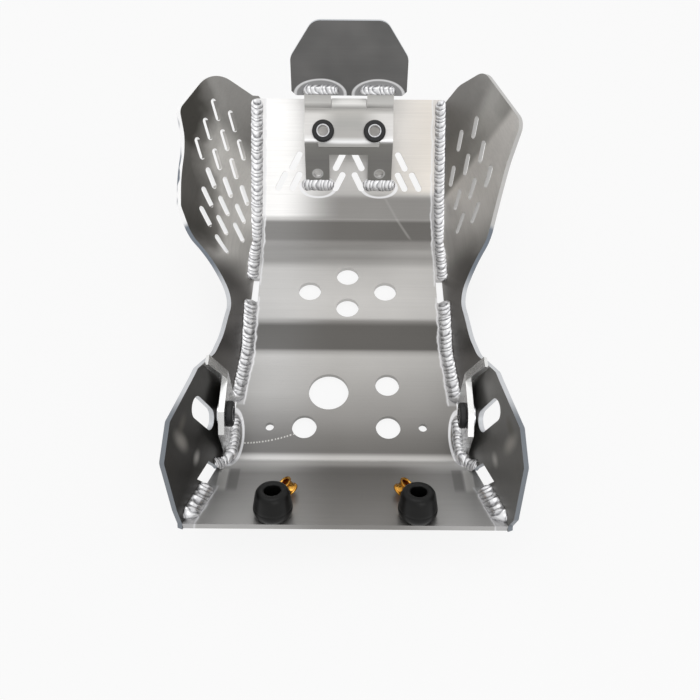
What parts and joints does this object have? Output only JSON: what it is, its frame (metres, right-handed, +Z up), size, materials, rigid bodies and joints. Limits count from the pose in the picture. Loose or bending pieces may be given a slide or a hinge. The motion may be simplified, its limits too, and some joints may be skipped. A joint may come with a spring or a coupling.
{
  "type": "motorcycle skid plate",
  "caption": "Welded aluminium skid plate for a motorcycle: folded floor, slotted side wings, header bracket with shield, side brackets with rubber grommets, bump stops and collars.",
  "frame": {"origin": "centre of the belly panel's underside", "axes": "+Y towards the front of the motorcycle along the plate, +X to its right, +Z up"},
  "size_m": [0.2938, 0.4058, 0.1689],
  "materials": {
    "floor_aluminium": "fine brushed across, satin",
    "side_aluminium": "brushed satin with weld halos",
    "bracket_aluminium": "machined satin",
    "shield_aluminium": "satin",
    "weld_metal": "bright rippled bead",
    "grommet_rubber": "matt",
    "buffer_rubber": "matt",
    "sleeve_steel": "bright turned",
    "collar_brass": "yellow passivated, satin"
  },
  "bodies": {
    "root": {"floor_plate": "floor_aluminium", "left_side_plate": "side_aluminium", "right_side_plate": "side_aluminium", "left_mount_bracket": "bracket_aluminium", "right_mount_bracket": "bracket_aluminium", "header_bracket": "bracket_aluminium", "header_shield": "shield_aluminium", "header_grommet_left": "grommet_rubber", "header_grommet_right": "grommet_rubber", "side_grommet_left": "grommet_rubber", "side_grommet_right": "grommet_rubber", "rubber_buffer_left": "buffer_rubber", "rubber_buffer_right": "buffer_rubber", "header_sleeve_left": "sleeve_steel", "header_sleeve_right": "sleeve_steel", "side_sleeve_left": "sleeve_steel", "side_sleeve_right": "sleeve_steel", "flanged_collar_left": "collar_brass", "flanged_collar_right": "collar_brass", "left_upper_weld": "weld_metal", "left_lower_weld": "weld_metal", "left_flange_weld": "weld_metal", "left_bracket_weld": "weld_metal", "left_leg_weld": "weld_metal", "left_shield_weld": "weld_metal", "right_upper_weld": "weld_metal", "right_lower_weld": "weld_metal", "right_flange_weld": "weld_metal", "right_bracket_weld": "weld_metal", "right_leg_weld": "weld_metal", "right_shield_weld": "weld_metal"}
  },
  "joints": []
}
